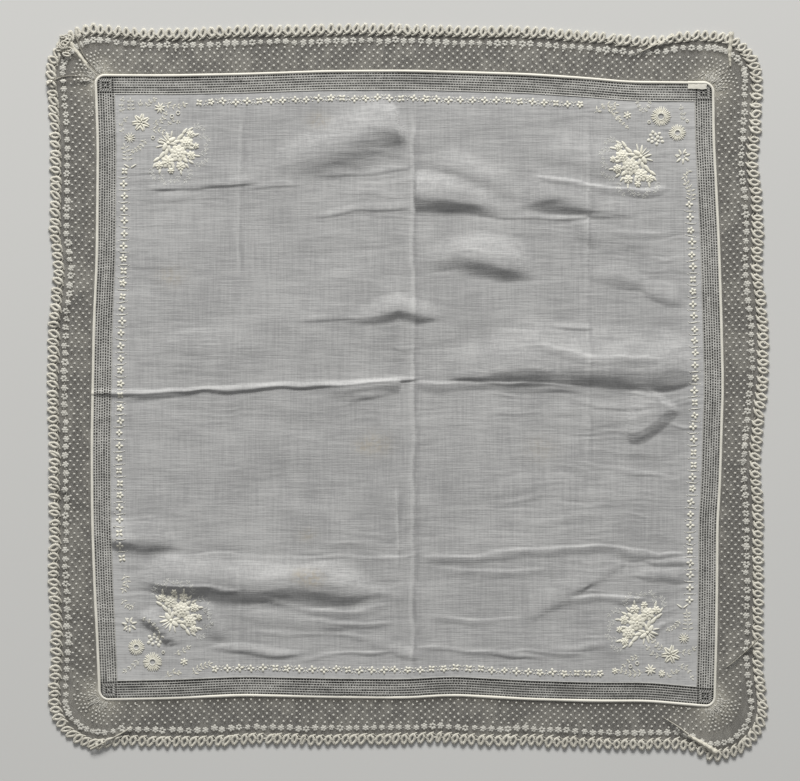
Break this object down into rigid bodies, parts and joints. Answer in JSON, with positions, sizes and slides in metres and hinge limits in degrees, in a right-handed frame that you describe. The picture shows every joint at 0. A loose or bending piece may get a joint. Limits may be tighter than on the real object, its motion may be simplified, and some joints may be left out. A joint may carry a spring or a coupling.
{
  "type": "lace handkerchief",
  "caption": "Square lawn handkerchief laid out flat, with drawn-thread rim, spotted net border gathered at the corners and looped edging.",
  "frame": {"origin": "middle of the outline's box, on the surface that the cloth lies on", "axes": "+X to the right of the cloth, +Y up it, +Z away from the surface"},
  "size_m": [0.3802, 0.3875, 0.0033],
  "materials": {
    "lawn": "sheer plain-woven cotton lawn with white embroidery",
    "cord": "whipped white cotton roll",
    "net": "fine cotton net with worked spots and stars",
    "edging": "twisted cotton thread loops",
    "tape": "blank woven cotton tape"
  },
  "bodies": {
    "root": {"lawn_panel": "lawn", "seam_cord": "cord", "net_border": "net", "loop_edging": "edging", "tape_tab": "tape"}
  },
  "joints": []
}
